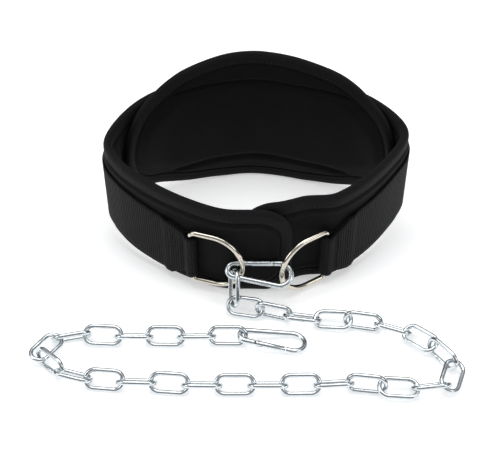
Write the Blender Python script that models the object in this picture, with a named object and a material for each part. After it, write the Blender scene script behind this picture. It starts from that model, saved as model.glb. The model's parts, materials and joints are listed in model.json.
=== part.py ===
"""A padded dip belt that stands on its edge, with its chain and two snap hooks. Metres, +Z up.

The soft pieces are cut flat, as the real ones are: along runs round the waist from the middle of the
front, up runs across the strip and out is the distance from its outer face. They are then wrapped
round the waist, and the belt leans forward because the tall pad lifts its back.
"""

import math

import bmesh
import bpy
from mathutils import Matrix, Vector

# Clearances
GAP = 0.0003

# The waist, measured on the strip's outer face
HALF_WIDTH = 0.138
DEPTH = 0.195
WALL_LEAN = math.radians(4.0)

# The padded strip, with its binding
STRIP_HEIGHT = 0.093
STRIP_THICK = 0.0085
STRIP_EDGE_THICK = 0.0050
STRIP_END_RADIUS = 0.030
LEFT_END = 0.038
RIGHT_END = 0.008
TUCK_RUN = 0.030
TUCK_GAP = 0.0005
BINDING_WIDTH = 0.0110
BINDING_THICK = 0.0010
SEAM_SLOPE = 0.0045
REST_SQUASH = 0.0010

# The lumbar pad inside the back
PAD_HEIGHT = 0.148
PAD_LENGTH = 0.340
PAD_THICK = 0.0085
PAD_EDGE_THICK = 0.0045
PAD_BINDING_SLACK = 0.0006

# The load webbing and its loops
WEBBING_WIDTH = 0.060
WEBBING_THICK = 0.0018
LOOP_WIDTH = 0.0448
LOOP_FOLD = 0.015
LOOP_SLACK = 0.0006
LOOP_NECK = 0.008
LEFT_LOOP = 0.0510
RIGHT_LOOP = 0.0690
LEFT_RING_UP = 0.0385
RIGHT_RING_UP = 0.0325

# D-rings
RING_WIRE = 0.0048
RING_DEPTH = 0.047
RING_HEIGHT = 0.055
RING_CORNER = 0.0048
LEFT_RING_SWING = math.radians(-8.0)
RIGHT_RING_SWING = math.radians(20.0)

# Snap hooks
HOOK_LENGTH = 0.060
HOOK_WIRE = 0.0050
HOOK_EYE_RADIUS = 0.0060
HOOK_BOW_RADIUS = 0.0100
HOOK_STUB = 0.0074
HOOK_NOSE = 0.0044
HOOK_PIVOT = 0.0110
TONGUE_LENGTH = 0.0056
TONGUE_THICK = 0.0016
TONGUE_HEIGHT = 0.0042
RIVET_RADIUS = 0.0009
RIVET_HEAD = 0.0003
FORK_BACK = 0.0021
FORK_SLOT = 0.0036

# The front hook holds the left D-ring a little below its tip, and the chain's first link in its eye
RING_SEAT_AHEAD = 0.0066
RING_SEAT_RISE = 0.0006
RING_SEAT_TURN = math.radians(7.0)
HOOK_LIES_BACK = math.radians(52.0)
LINK_DROP = 0.0003
LINK_DROP_BACK = 0.0003
FIRST_LINK_TURN = math.radians(-26.0)

# Chain
LINK_WIRE = 0.0040
LINK_INSIDE = 0.0270
LINK_WIDTH = 0.0190

# The outer face of the strip, clockwise seen from above: front, left side, back, right side
WAIST_ROUTE = (
    # name, across (share of HALF_WIDTH), back (share of DEPTH)
    ("front middle", 0.000, 0.000),
    ("front left", -0.230, 0.018),
    ("left corner", -0.565, 0.140),
    ("left bulge", -0.850, 0.315),
    ("left side", -0.955, 0.500),
    ("back left", -0.770, 0.760),
    ("back left middle", -0.420, 0.925),
    ("back middle", 0.000, 1.000),
    ("back right middle", 0.450, 0.930),
    ("back right", 0.830, 0.790),
    ("right side", 1.045, 0.560),
    ("right bulge", 0.910, 0.345),
    ("right corner", 0.620, 0.135),
    ("front right", 0.250, 0.012),
)

# Half of the pad's outline, the same to the left and right, above and below
PAD_OUTLINE = (
    # reach (share of half the length), rise (share of half the height)
    (0.00, 1.000),
    (0.20, 0.985),
    (0.36, 0.940),
    (0.49, 0.885),
    (0.60, 0.800),
    (0.70, 0.705),
    (0.80, 0.620),
)
# Each end of the pad is half an ellipse: its middle and reach, and its rise, as the shares above
TONGUE_MIDDLE = 0.62
TONGUE_RISE = 0.705

# The load webbing, from its loops to the back
WEBBING_SHAPE = (
    # run (share of half the waist), middle (share of STRIP_HEIGHT), width (share of WEBBING_WIDTH)
    ("stitched end", 0.06, 0.390, 1.0),
    ("side", 0.20, 0.440, 1.0),
    ("back", 0.60, 0.500, 1.0),
)

# How each link lies on the floor. Its heading turns from +X towards the back of the belt, lean 0 lies
# flat, and above 0 the side of it away from the front is raised. Play is how loosely it hangs in the
# link before.
CHAIN = (
    # link, heading (degrees), lean (degrees), play (mm)
    (2, -12, 46, 1.5),
    (3, -16, 96, 1.6),
    (4, -4, -30, 1.8),
    (5, -8, 22, 1.0),
    (6, -12, 80, 1.3),
    (7, -18, -38, 1.2),
    (8, -46, 24, 2.0),
    (9, -56, 82, 1.6),
    (10, -112, 20, 1.2),
    (11, -172, -44, 1.8),
    (12, 178, 20, 1.2),
    (13, 173, 80, 1.3),
    (14, -178, -38, 1.0),
    (15, -179, 50, 0.8),
    (16, 180, -40, 0.8),
    (17, 180, 50, 0.8),
    (18, 179, -40, 0.8),
    (19, 175, 50, 0.8),
    (20, 178, -40, 0.8),
    (21, 174, 50, 0.8),
    (22, 164, -34, 1.2),
    (23, 137, 78, 2.1),
    (24, 60, 8, 1.8),
    (25, 12, -58, 2.4),
    (26, -2, 40, 1.0),
    (27, -2, -40, 0.8),
    (28, -1, 50, 0.8),
    (29, 0, -40, 0.8),
    (30, -1, 64, 0.8),
)
# How high two links meet, from the rest height of the lower one to that of the higher one
JOINT_SHARE = 0.75
FIRST_JOINT_HEIGHT = 0.0084
END_HOOK_HEADING = math.radians(-3.0)
END_HOOK_PLAY = 0.0012


def smooth_line(points, closed):
    """Points on a smooth curve through the given ones, a few between each two."""
    steps = 12
    count = len(points)
    spans = count if closed else count - 1
    line = []
    for index in range(spans):
        if closed:
            before, start, end, after = (points[(index + shift) % count] for shift in (-1, 0, 1, 2))
        else:
            before = points[max(index - 1, 0)]
            start, end = points[index], points[index + 1]
            after = points[min(index + 2, count - 1)]
        for step in range(steps):
            t = step / steps
            line.append(
                start * (1 - 2.5 * t**2 + 1.5 * t**3)
                + end * (0.5 * t + 2 * t**2 - 1.5 * t**3)
                + before * (-0.5 * t + t**2 - 0.5 * t**3)
                + after * (-0.5 * t**2 + 0.5 * t**3)
            )
    line.append(points[0].copy() if closed else points[-1].copy())
    return line


def evenly(line, count):
    """The same line as count equal steps, and its length."""
    lengths = [0.0]
    for start, end in zip(line, line[1:]):
        lengths.append(lengths[-1] + (end - start).length)
    total = lengths[-1]
    even = []
    index = 0
    for step in range(count):
        wanted = total * step / count
        while lengths[index + 1] < wanted:
            index += 1
        share = (wanted - lengths[index]) / (lengths[index + 1] - lengths[index])
        even.append(line[index].lerp(line[index + 1], share))
    even.append(line[-1].copy())
    return even, total


# The waist as a polygon of equal sides, which all the wrapped pieces share
WAIST_SIDES = 44
ROUTE_POINTS = [Vector((HALF_WIDTH * across, DEPTH * back)) for _, across, back in WAIST_ROUTE]
WAIST, WAIST_LENGTH = evenly(smooth_line(ROUTE_POINTS, closed=True), WAIST_SIDES)
STEP = WAIST_LENGTH / WAIST_SIDES


def waist_corner(index):
    """A corner of the waist and its outward direction, long enough to keep offset sides parallel."""
    point = WAIST[index % WAIST_SIDES]
    behind = (point - WAIST[(index - 1) % WAIST_SIDES]).normalized()
    ahead = (WAIST[(index + 1) % WAIST_SIDES] - point).normalized()
    heading = (behind + ahead).normalized()
    return point, Vector((-heading.y, heading.x)) / heading.dot(ahead)


def tuck(index):
    """How far the strip is moved in there, so that its right end passes under its left end."""
    full = math.floor((WAIST_LENGTH - LEFT_END) / STEP)
    start = full - math.ceil(TUCK_RUN / STEP)
    share = min(max((index - start) / (full - start), 0.0), 1.0)
    return (STRIP_THICK + TUCK_GAP) * share * share * (3 - 2 * share)


def around(along, out):
    """The place in plan of a point on the belt."""
    index = math.floor(along / STEP + 1e-6)
    share = along / STEP - index
    ends = []
    for corner in (index, index + 1):
        point, outward = waist_corner(corner)
        ends.append(point + outward * (out - tuck(corner)))
    return ends[0].lerp(ends[1], share)


PAD_DROP = (PAD_HEIGHT - STRIP_HEIGHT) / 2
PAD_OUT = -(STRIP_THICK + GAP + PAD_THICK / 2)
BACK_MIDDLE = WAIST_LENGTH / 2
LEAN = math.atan2(PAD_DROP, DEPTH - STRIP_THICK - GAP - PAD_THICK)
FOOT_PLANE = Matrix.Translation((0, 0, -REST_SQUASH)) @ Matrix.Rotation(LEAN, 4, "X")
WALL_UP = Vector((0, -math.sin(WALL_LEAN), math.cos(WALL_LEAN)))


def stand(along, out, up):
    """The place of a point on the belt as it stands on its edge, before its foot is pressed flat."""
    plan = around(along, out)
    return FOOT_PLANE @ Vector((plan.x, plan.y, 0)) + WALL_UP * up


def wrap(bm, foot):
    """Wraps a flat piece round the waist. foot(along) is the height of its lower edge there."""
    fade_from = 0.006
    fade_to = 0.024
    for vert in bm.verts:
        along, out, up = vert.co
        place = stand(along, out, up)
        lift = max(0.0, -stand(along, out, foot(along)).z)
        rise = up - foot(along)
        place.z += lift * min(max((fade_to - rise) / (fade_to - fade_from), 0.0), 1.0)
        vert.co = place


def steps_between(start, end):
    """Places from start to end at every corner of the waist between them."""
    margin = STEP * 0.2
    first = math.ceil((start + margin) / STEP)
    last = math.floor((end - margin) / STEP)
    return [start] + [index * STEP for index in range(first, last + 1)] + [end]


def add_object(name, mesh):
    obj = bpy.data.objects.new(name, mesh)
    bpy.context.collection.objects.link(obj)
    return obj


def finish_mesh(name, bm, material):
    """Makes an object of a bmesh, shaded smooth between its sharp edges."""
    bmesh.ops.recalc_face_normals(bm, faces=bm.faces)
    mesh = bpy.data.meshes.new(name)
    bm.to_mesh(mesh)
    bm.free()
    mesh.shade_smooth()
    mesh.set_sharp_from_angle(angle=math.radians(40))
    mesh.materials.append(material)
    return add_object(name, mesh)


def make_material(name, colour, roughness, metallic=0.0):
    material = bpy.data.materials.new(name)
    material.use_nodes = True
    shader = material.node_tree.nodes["Principled BSDF"]
    shader.inputs["Base Color"].default_value = (*colour, 1.0)
    shader.inputs["Roughness"].default_value = roughness
    shader.inputs["Metallic"].default_value = metallic
    return material


def strip_outline(inset):
    """The strip's outline, moved in by inset: along the top, round one end, back below, round the other."""
    start = -LEFT_END
    end = WAIST_LENGTH + RIGHT_END
    radius = STRIP_END_RADIUS
    top = STRIP_HEIGHT - inset
    turns = 3
    corners = []
    for centre_along, centre_up, first_turn in (
        (end - radius, STRIP_HEIGHT - radius, 90),
        (end - radius, radius, 0),
        (start + radius, radius, -90),
        (start + radius, STRIP_HEIGHT - radius, -180),
    ):
        corner = []
        for turn in range(turns + 1):
            angle = math.radians(first_turn - 90 * turn / turns)
            reach = radius - inset
            corner.append((centre_along + reach * math.cos(angle), centre_up + reach * math.sin(angle)))
        corners.append(corner)
    straight = steps_between(start + radius, end - radius)[1:-1]
    outline = [(along, top) for along in straight]
    outline += corners[0] + corners[1]
    outline += [(along, inset) for along in reversed(straight)]
    outline += corners[2] + corners[3]
    return outline, len(straight)


def pad_rise(along):
    """Half the pad's height at a distance from the middle of the back."""
    reach = min(abs(along - BACK_MIDDLE) / (PAD_LENGTH / 2), 1.0)
    for (near, near_rise), (far, far_rise) in zip(PAD_OUTLINE, PAD_OUTLINE[1:]):
        if reach <= far:
            share = (reach - near) / (far - near)
            return PAD_HEIGHT / 2 * (near_rise + (far_rise - near_rise) * share)
    share = (reach - TONGUE_MIDDLE) / (1 - TONGUE_MIDDLE)
    return PAD_HEIGHT / 2 * TONGUE_RISE * math.sqrt(1 - share * share)


def pad_outline(inset):
    """The pad's outline, moved in by inset, in the same order as the strip's."""
    middle_up = STRIP_HEIGHT / 2
    straight_reach = PAD_LENGTH / 2 * PAD_OUTLINE[-1][0]
    centre = PAD_LENGTH / 2 * TONGUE_MIDDLE
    run = PAD_LENGTH / 2 - centre
    rise = PAD_HEIGHT / 2 * TONGUE_RISE
    turns = 8
    first_turn = math.acos((straight_reach - centre) / run) * 0.9
    straight = steps_between(BACK_MIDDLE - straight_reach, BACK_MIDDLE + straight_reach)[1:-1]

    def edge(along, sign):
        slope = (pad_rise(along + GAP) - pad_rise(along - GAP)) / (2 * GAP)
        return along, middle_up + sign * (pad_rise(along) - inset * math.hypot(1, slope))

    def tongue(side):
        points = []
        for turn in range(turns + 1):
            angle = first_turn * (1 - 2 * turn / turns)
            outward = Vector((math.cos(angle) / run, math.sin(angle) / rise)).normalized()
            along = centre + run * math.cos(angle) - inset * outward.x
            up = rise * math.sin(angle) - inset * outward.y
            points.append((BACK_MIDDLE + side * along, middle_up + side * up))
        return points

    outline = [edge(along, 1) for along in straight]
    outline += tongue(1)
    outline += [edge(along, -1) for along in reversed(straight)]
    outline += tongue(-1)
    return outline, len(straight)


def add_loop(bm, outline, out):
    return [bm.verts.new((along, out, up)) for along, up in outline]


def join_loops(bm, first, second):
    count = len(first)
    for index in range(count):
        after = (index + 1) % count
        bm.faces.new((first[index], first[after], second[after], second[index]))


def cover(bm, loop, straight):
    """Closes a face of a panel with quads from its top edge to its lower edge, and one face at each end."""
    turn = (len(loop) - 2 * straight) // 2
    top = loop[:straight]
    low = list(reversed(loop[straight + turn : 2 * straight + turn]))
    for index in range(straight - 1):
        bm.faces.new((top[index], top[index + 1], low[index + 1], low[index]))
    bm.faces.new(loop[straight - 1 : straight + turn + 1])
    bm.faces.new(loop[2 * straight + turn - 1 :] + loop[:1])


def panel(outline_at, middle_out, thick, edge_thick, slack):
    """A padded panel, thin under its binding and full inside it. Slack is extra room in the binding."""
    rows = (
        (BINDING_THICK + GAP + slack, edge_thick - 2 * slack),
        (BINDING_WIDTH + GAP, edge_thick - 2 * slack),
        (BINDING_WIDTH + SEAM_SLOPE, thick),
    )
    bm = bmesh.new()
    edges = []
    for side in (1, -1):
        loops = []
        for inset, row_thick in rows:
            outline, straight = outline_at(inset)
            loops.append(add_loop(bm, outline, middle_out + side * row_thick / 2))
        for first, second in zip(loops, loops[1:]):
            join_loops(bm, first, second)
        cover(bm, loops[-1], straight)
        edges.append(loops[0])
    join_loops(bm, edges[0], edges[1])
    return bm


def binding(outline_at, middle_out, edge_thick):
    """A tape folded over the edge of a panel, all the way round."""
    inner = edge_thick / 2 + GAP
    outer = inner + BINDING_THICK
    bend = BINDING_THICK * 1.5
    section = (
        (BINDING_WIDTH, outer),
        (bend, outer),
        (0.0, outer - bend),
        (0.0, bend - outer),
        (bend, -outer),
        (BINDING_WIDTH, -outer),
        (BINDING_WIDTH, -inner),
        (BINDING_THICK, -inner),
        (BINDING_THICK, inner),
        (BINDING_WIDTH, inner),
    )
    bm = bmesh.new()
    loops = [add_loop(bm, outline_at(inset)[0], middle_out + out) for inset, out in section]
    for first, second in zip(loops, loops[1:] + loops[:1]):
        join_loops(bm, first, second)
    return bm


def strip_foot(along):
    return 0.0


def pad_foot(along):
    return STRIP_HEIGHT / 2 - pad_rise(along)


def make_strip(material):
    bm = panel(strip_outline, -STRIP_THICK / 2, STRIP_THICK, STRIP_EDGE_THICK, 0.0)
    wrap(bm, strip_foot)
    finish_mesh("belt_strip", bm, material)


def make_strip_binding(material):
    bm = binding(strip_outline, -STRIP_THICK / 2, STRIP_EDGE_THICK)
    wrap(bm, strip_foot)
    finish_mesh("belt_binding", bm, material)


def make_pad(material):
    bm = panel(pad_outline, PAD_OUT, PAD_THICK, PAD_EDGE_THICK, PAD_BINDING_SLACK)
    wrap(bm, pad_foot)
    finish_mesh("lumbar_pad", bm, material)


def make_pad_binding(material):
    bm = binding(pad_outline, PAD_OUT, PAD_EDGE_THICK)
    wrap(bm, pad_foot)
    finish_mesh("pad_binding", bm, material)


# The webbing lies on the strip, and its folded end lies under it
UNDER_OUT = GAP + WEBBING_THICK / 2
OVER_OUT = UNDER_OUT + WEBBING_THICK + GAP
LOOP_RADIUS = RING_WIRE / 2 + LOOP_SLACK + WEBBING_THICK / 2
RING_OUT = UNDER_OUT + LOOP_RADIUS


def webbing_height(run, ring_up):
    """The middle and width of the webbing at a distance from its loop."""
    rows = [(0.0, ring_up, LOOP_WIDTH), (LOOP_NECK, ring_up, LOOP_WIDTH)]
    for _, share, middle, width in WEBBING_SHAPE:
        rows.append((share * WAIST_LENGTH / 2, middle * STRIP_HEIGHT, width * WEBBING_WIDTH))
    run = max(run, 0.0)
    for near, far in zip(rows, rows[1:]):
        if run <= far[0]:
            share = (run - near[0]) / (far[0] - near[0])
            return near[1] + (far[1] - near[1]) * share, near[2] + (far[2] - near[2]) * share
    return rows[-1][1:]


def webbing_end(loop_along, away):
    """The tape from its folded end, round the ring's bar, to where it lies singly on the strip."""
    fold_end = LOOP_NECK + LOOP_FOLD
    near, far = sorted((loop_along, loop_along + away * fold_end))
    under = steps_between(near, far)
    if away > 0:
        under.reverse()
    path = [(along, UNDER_OUT) for along in under]
    centre = Vector((0.0, RING_OUT))
    leave = Vector((LOOP_NECK, OVER_OUT)) - centre
    last_turn = math.atan2(leave.y, leave.x) + math.acos(LOOP_RADIUS / leave.length)
    first_turn = math.radians(270)
    turns = 7
    for turn in range(1, turns + 1):
        angle = first_turn + (last_turn - first_turn) * turn / turns
        run = LOOP_RADIUS * math.cos(angle)
        path.append((loop_along + away * run, RING_OUT + LOOP_RADIUS * math.sin(angle)))
    step_down = fold_end + 2 * WEBBING_THICK
    near, far = sorted((loop_along + away * LOOP_NECK, loop_along + away * step_down))
    over = steps_between(near, far)
    if away < 0:
        over.reverse()
    path += [(along, OVER_OUT) for along in over]
    path.append((loop_along + away * (step_down + 3 * WEBBING_THICK), UNDER_OUT))
    return path


def make_webbing(material):
    """One tape round the outside, folded round the bar of a D-ring at each end."""
    left = webbing_end(LEFT_LOOP, 1)
    right = webbing_end(WAIST_LENGTH - RIGHT_LOOP, -1)
    between = steps_between(left[-1][0], right[-1][0])[1:-1]
    path = left + [(along, UNDER_OUT) for along in between] + right[::-1]
    points = [Vector(point) for point in path]
    bm = bmesh.new()
    rings = []
    for index, point in enumerate(points):
        before = (point - points[index - 1]).normalized() if index > 0 else None
        after = (points[index + 1] - point).normalized() if index + 1 < len(points) else None
        heading = ((before or after) + (after or before)).normalized()
        across = Vector((-heading.y, heading.x)) * (WEBBING_THICK / 2) / heading.dot(after or before)
        if point.x < BACK_MIDDLE:
            middle, width = webbing_height(point.x - LEFT_LOOP, LEFT_RING_UP)
        else:
            middle, width = webbing_height(WAIST_LENGTH - RIGHT_LOOP - point.x, RIGHT_RING_UP)
        ring = []
        for side, level in ((1, -1), (1, 1), (-1, 1), (-1, -1)):
            place = point + across * side
            ring.append(bm.verts.new((place.x, place.y, middle + level * width / 2)))
        rings.append(ring)
    for first, second in zip(rings, rings[1:]):
        join_loops(bm, first, second)
    bm.faces.new(rings[0])
    bm.faces.new(rings[-1])
    wrap(bm, strip_foot)
    finish_mesh("webbing_strap", bm, material)


def wire_mesh(name, points, wire, sides, closed):
    """A round wire along the points, with flat ends where it is open."""
    curve = bpy.data.curves.new(name, "CURVE")
    curve.dimensions = "3D"
    curve.twist_mode = "Z_UP"
    curve.bevel_depth = wire / 2
    curve.bevel_resolution = sides // 2 - 2
    curve.use_fill_caps = True
    spline = curve.splines.new("POLY")
    spline.points.add(len(points) - 1)
    for target, point in zip(spline.points, points):
        target.co = (*point, 1.0)
    spline.use_cyclic_u = closed
    guide = add_object(name + "_line", curve)
    mesh = bpy.data.meshes.new_from_object(guide.evaluated_get(bpy.context.evaluated_depsgraph_get()))
    bpy.data.objects.remove(guide)
    mesh.name = name
    bm = bmesh.new()
    bm.from_mesh(mesh)
    bmesh.ops.remove_doubles(bm, verts=bm.verts, dist=1e-6)
    bmesh.ops.recalc_face_normals(bm, faces=bm.faces)
    bm.to_mesh(mesh)
    bm.free()
    mesh.shade_smooth()
    mesh.set_sharp_from_angle(angle=math.radians(50))
    return mesh


def arc(centre, radius, start, end, steps):
    """Points along an arc in the XY plane, with both of its ends."""
    points = []
    for step in range(steps + 1):
        angle = start + (end - start) * step / steps
        points.append(Vector((centre[0] + radius * math.cos(angle), centre[1] + radius * math.sin(angle), 0)))
    return points


def axes_matrix(origin, x_axis, y_axis):
    """A place turned so that its X and Y lie along these two directions, which are square to each other."""
    z_axis = x_axis.cross(y_axis)
    matrix = Matrix((x_axis, y_axis, z_axis)).transposed().to_4x4()
    matrix.translation = origin
    return matrix


def ring_place(loop_along, away, ring_up, swing):
    """Where a D-ring hangs: X runs from its bar to its tip and Y up its bar."""
    origin = stand(loop_along, RING_OUT, ring_up)
    forward = stand(loop_along - away * STEP / 8, RING_OUT, ring_up) - origin
    forward = (forward - WALL_UP * forward.dot(WALL_UP)).normalized()
    forward = Matrix.Rotation(-away * swing, 3, WALL_UP) @ forward
    return axes_matrix(origin, forward, WALL_UP)


LEFT_RING = ring_place(LEFT_LOOP, 1, LEFT_RING_UP, LEFT_RING_SWING)
RIGHT_RING = ring_place(WAIST_LENGTH - RIGHT_LOOP, -1, RIGHT_RING_UP, RIGHT_RING_SWING)


def make_rings(material):
    """Each D-ring is a straight bar with a round bow."""
    half = RING_HEIGHT / 2
    corner = RING_CORNER
    quarter = math.radians(90)
    points = arc((corner, corner - half), corner, 2 * quarter, 3 * quarter, 3)
    points += arc((RING_DEPTH - half, 0), half, -quarter, quarter, 10)
    points += arc((corner, half - corner), corner, quarter, 2 * quarter, 3)
    mesh = wire_mesh("d_ring", points, RING_WIRE, 8, closed=True)
    mesh.materials.append(material)
    for name, place in (("d_ring_left", LEFT_RING), ("d_ring_right", RIGHT_RING)):
        add_object(name, mesh).matrix_world = place


# The hook lies in its own XY plane: its eye is at the origin and its bow along X, with the gate at +Y
HOOK_BOW = HOOK_LENGTH - HOOK_WIRE - HOOK_EYE_RADIUS - HOOK_BOW_RADIUS
HOOK_FLARE = math.asin((HOOK_BOW_RADIUS - HOOK_EYE_RADIUS) / HOOK_BOW)
GATE_LINE = Vector((math.cos(HOOK_FLARE), math.sin(HOOK_FLARE), 0))
GATE_START = Vector((-GATE_LINE.y, GATE_LINE.x, 0)) * HOOK_EYE_RADIUS
GATE_SPAN = HOOK_BOW * math.cos(HOOK_FLARE)
GATE_SIDE = Vector((-GATE_LINE.y, GATE_LINE.x, 0))
PIVOT_PLACE = GATE_START + GATE_LINE * HOOK_PIVOT


def merge(obj, other, operation):
    """Joins another solid to this one, or cuts it out of this one."""
    modifier = obj.modifiers.new(operation.lower(), "BOOLEAN")
    modifier.operation = operation
    modifier.object = other
    mesh = bpy.data.meshes.new_from_object(obj.evaluated_get(bpy.context.evaluated_depsgraph_get()))
    obj.modifiers.remove(modifier)
    obj.data = mesh
    bpy.data.objects.remove(other)


def block(name, length, height, thick, centre):
    """A plain block turned along the gate."""
    bm = bmesh.new()
    bmesh.ops.create_cube(bm, size=1)
    bmesh.ops.scale(bm, vec=(length, height, thick), verts=bm.verts)
    bmesh.ops.rotate(bm, matrix=Matrix.Rotation(HOOK_FLARE, 3, "Z"), verts=bm.verts)
    bmesh.ops.translate(bm, vec=centre, verts=bm.verts)
    return finish_mesh(name, bm, None)


def pin(name, radius, length, centre):
    """A round pin square to the hook's plane."""
    bm = bmesh.new()
    bmesh.ops.create_cone(bm, cap_ends=True, segments=12, radius1=radius, radius2=radius, depth=length)
    bmesh.ops.translate(bm, vec=centre, verts=bm.verts)
    return finish_mesh(name, bm, None)


def hook_body_mesh():
    quarter = math.radians(90)
    points = [GATE_START + GATE_LINE * HOOK_STUB]
    points += arc((0, 0), HOOK_EYE_RADIUS, quarter + HOOK_FLARE, 3 * quarter - HOOK_FLARE, 7)
    points += arc((HOOK_BOW, 0), HOOK_BOW_RADIUS, -quarter - HOOK_FLARE, quarter + HOOK_FLARE, 9)
    points.append(GATE_START + GATE_LINE * (GATE_SPAN - HOOK_NOSE))
    body = add_object("hook_body", wire_mesh("hook_body", points, HOOK_WIRE, 8, closed=False))
    tongue_middle = GATE_START + GATE_LINE * (HOOK_STUB + TONGUE_LENGTH / 2 - TONGUE_THICK / 2)
    tongue_length = TONGUE_LENGTH + TONGUE_THICK
    merge(body, block("tongue", tongue_length, TONGUE_HEIGHT, TONGUE_THICK, tongue_middle), "UNION")
    merge(body, pin("hole", RIVET_RADIUS + GAP, 2 * HOOK_WIRE, PIVOT_PLACE), "DIFFERENCE")
    mesh = body.data
    bpy.data.objects.remove(body)
    return mesh


def gate_mesh():
    """The gate with its fork and rivet, about its pivot."""
    end = GATE_SPAN - HOOK_NOSE - 2 * GAP
    points = [GATE_START + GATE_LINE * (HOOK_PIVOT - FORK_BACK), GATE_START + GATE_LINE * end]
    gate = add_object("gate", wire_mesh("gate", points, HOOK_WIRE, 8, closed=False))
    slot_middle = PIVOT_PLACE + GATE_LINE * ((FORK_SLOT - 2 * FORK_BACK) / 2)
    slot_thick = TONGUE_THICK + 2 * GAP
    merge(gate, block("slot", FORK_SLOT + 2 * FORK_BACK, 2 * HOOK_WIRE, slot_thick, slot_middle), "DIFFERENCE")
    merge(gate, pin("rivet", RIVET_RADIUS, HOOK_WIRE + 2 * RIVET_HEAD, PIVOT_PLACE), "UNION")
    mesh = gate.data
    mesh.transform(Matrix.Translation(-PIVOT_PLACE))
    bpy.data.objects.remove(gate)
    return mesh


def front_hook_place():
    """The front hook is drawn between the tips of both D-rings."""
    half = RING_HEIGHT / 2
    below_tip = Vector((math.cos(RING_SEAT_TURN), -math.sin(RING_SEAT_TURN), 0)) * half
    left_tip = LEFT_RING @ (Vector((RING_DEPTH - half, 0, 0)) + below_tip)
    right_tip = RIGHT_RING @ Vector((RING_DEPTH, 0, 0))
    line = (right_tip - left_tip).normalized()
    face = Vector((0, -math.cos(HOOK_LIES_BACK), math.sin(HOOK_LIES_BACK)))
    face = (face - line * face.dot(line)).normalized()
    turn = math.asin(RING_SEAT_RISE / (right_tip - left_tip).length)
    line = Matrix.Rotation(turn, 3, face) @ line
    place = axes_matrix(left_tip, line, face.cross(line))
    return place @ Matrix.Translation((-RING_SEAT_AHEAD, -RING_SEAT_RISE, 0))


FRONT_HOOK = front_hook_place()


# A link lies in its own XY plane, with its length along X
LINK_BEND = (LINK_WIDTH - LINK_WIRE) / 2
LINK_REACH = (LINK_INSIDE + LINK_WIRE) / 2


def link_mesh():
    quarter = math.radians(90)
    middle = LINK_REACH - LINK_BEND
    points = arc((middle, 0), LINK_BEND, -quarter, quarter, 5)
    points += arc((-middle, 0), LINK_BEND, quarter, 3 * quarter, 5)
    return wire_mesh("chain_link", points, LINK_WIRE, 6, closed=True)


def rest_height(corners, turned):
    """How high the middle of a link is when it lies on the floor turned like this."""
    return -min((turned.to_3x3() @ corner).z for corner in corners)


def lying_matrix(heading, lean):
    """A link's turn on the floor: the side of it away from the front is raised by lean."""
    along = heading.normalized()
    away = Vector((-along.y, along.x, 0)).normalized()
    if away.y < 0:
        away = -away
    upward = along.cross(away)
    if upward.z < 0:
        upward = -upward
    width = away * math.cos(lean) + upward * math.sin(lean)
    return axes_matrix(Vector((0, 0, 0)), along, width)


def make_chain(material):
    """Lays the links one after another, each pulled to the end of the one before."""
    mesh = link_mesh()
    mesh.materials.append(material)
    corners = [vert.co.copy() for vert in mesh.vertices]
    leans = [math.radians(lean) for _, _, lean, _ in CHAIN]
    heights = [rest_height(corners, lying_matrix(Vector((1, 0, 0)), lean)) for lean in leans]
    joints = [FIRST_JOINT_HEIGHT]
    joints += [min(pair) + JOINT_SHARE * abs(pair[1] - pair[0]) for pair in zip(heights, heights[1:])]
    joints.append(heights[-1])

    hang_from = FRONT_HOOK @ Vector((-LINK_DROP_BACK, -LINK_DROP, 0))
    fall = (joints[0] - hang_from.z) / (2 * LINK_REACH)
    hang = Vector((0, -math.sqrt(1 - fall * fall), fall))
    facing = FRONT_HOOK.to_3x3() @ Vector((0, 0, 1))
    width = Matrix.Rotation(FIRST_LINK_TURN, 3, hang) @ (facing - hang * facing.dot(hang)).normalized()
    add_object("chain_link_01", mesh).matrix_world = axes_matrix(hang_from + hang * LINK_REACH, hang, width)

    end = hang_from + hang * 2 * LINK_REACH
    before = None
    for index, (number, heading, _, play) in enumerate(CHAIN):
        heading = math.radians(heading)
        ahead = Vector((math.cos(heading), math.sin(heading), 0))
        flatter = before is None or abs(math.sin(leans[index])) < abs(math.sin(leans[index - 1]))
        start = end - (ahead if flatter else before) * (LINK_WIRE + play / 1000)
        rise = (joints[index + 1] - joints[index]) / (2 * LINK_REACH)
        along = (ahead + Vector((0, 0, rise))).normalized()
        place = lying_matrix(along, leans[index])
        middle = start + along * LINK_REACH
        middle.z = max((joints[index] + joints[index + 1]) / 2, rest_height(corners, place))
        place.translation = middle
        add_object(f"chain_link_{number:02}", mesh).matrix_world = place
        end = middle + along * LINK_REACH
        before = ahead
    return place


def make_hooks(last_link, body_material, gate_material):
    body = hook_body_mesh()
    gate = gate_mesh()
    for mesh, material in ((body, body_material), (gate, gate_material)):
        mesh.materials.clear()
        mesh.materials.append(material)
    level = Vector((math.cos(END_HOOK_HEADING), math.sin(END_HOOK_HEADING), 0))
    last_end = last_link @ Vector((LINK_REACH, 0, 0))
    eye = last_end + level * (HOOK_EYE_RADIUS - (HOOK_WIRE + LINK_WIRE) / 2 - END_HOOK_PLAY)
    dip = math.asin((eye.z - HOOK_WIRE / 2) / (HOOK_BOW + HOOK_BOW_RADIUS))
    along = level * math.cos(dip) - Vector((0, 0, math.sin(dip)))
    side = Vector((-level.y, level.x, 0))
    end_place = axes_matrix(eye, along, -side)
    for name, place in (("front", FRONT_HOOK), ("end", end_place)):
        add_object(f"{name}_hook", body).matrix_world = place
        add_object(f"{name}_gate", gate).matrix_world = place @ Matrix.Translation(PIVOT_PLACE)


def clear_scene():
    for obj in list(bpy.data.objects):
        bpy.data.objects.remove(obj)


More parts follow.
